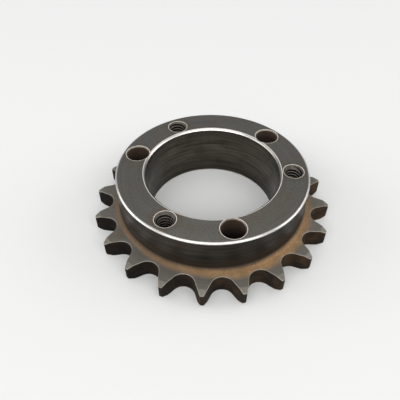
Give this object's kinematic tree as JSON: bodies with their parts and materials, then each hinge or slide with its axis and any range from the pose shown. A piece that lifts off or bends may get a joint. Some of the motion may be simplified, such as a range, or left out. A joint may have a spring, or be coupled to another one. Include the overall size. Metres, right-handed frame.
{
  "type": "chain sprocket",
  "caption": "Steel roller chain sprocket: a toothed rim with a raised hub, a tapered bore for a split bushing, and clear and tapped screw holes.",
  "frame": {"origin": "on the bore axis, in the plane of the flat face on the tooth side", "axes": "+Z along the bore axis towards the hub face, with one clear screw hole on -Y"},
  "size_m": [0.0866, 0.0866, 0.0206],
  "materials": {
    "machined_steel": "turned and hobbed steel, dark satin, bright broken edges, with a tan rust ring round the foot of the hub"
  },
  "bodies": {
    "root": {"chain_sprocket": "machined_steel"}
  },
  "joints": []
}
